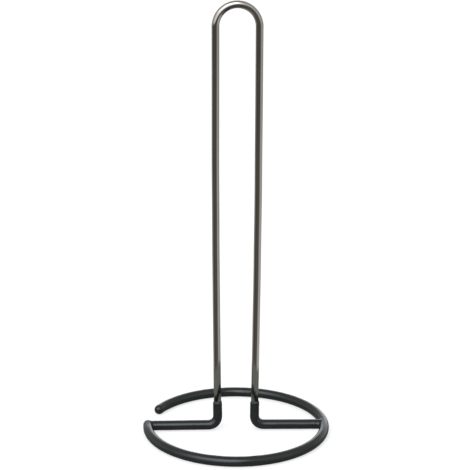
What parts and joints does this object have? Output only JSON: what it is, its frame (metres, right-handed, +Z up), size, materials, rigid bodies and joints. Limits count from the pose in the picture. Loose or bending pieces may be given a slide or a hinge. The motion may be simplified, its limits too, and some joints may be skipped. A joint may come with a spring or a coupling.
{
  "type": "paper towel holder",
  "caption": "Free-standing wire paper towel holder: a tall hairpin loop that a roll drops over, its feet welded into an open ring base dipped in vinyl.",
  "frame": {"origin": "centre of the base ring, on the table top that the ring lies on", "axes": "+Z up along the loop; the two feet run along X; -Y is the front, and the ring's open gap is at the back left (-X, +Y)"},
  "size_m": [0.152, 0.152, 0.35],
  "materials": {
    "black_nickel": "polished black-nickel plate on round steel wire",
    "drawn_wire": "bare drawn wire, hidden inside the skin",
    "weld_metal": "as welded, hidden inside the skin",
    "black_vinyl": "semi-gloss dipped vinyl, charcoal black"
  },
  "bodies": {
    "root": {"upright_loop": "black_nickel", "base_ring": "drawn_wire", "left_foot_weld": "weld_metal", "right_foot_weld": "weld_metal", "ring_coat": "black_vinyl", "left_foot_coat": "black_vinyl", "right_foot_coat": "black_vinyl"}
  },
  "joints": []
}
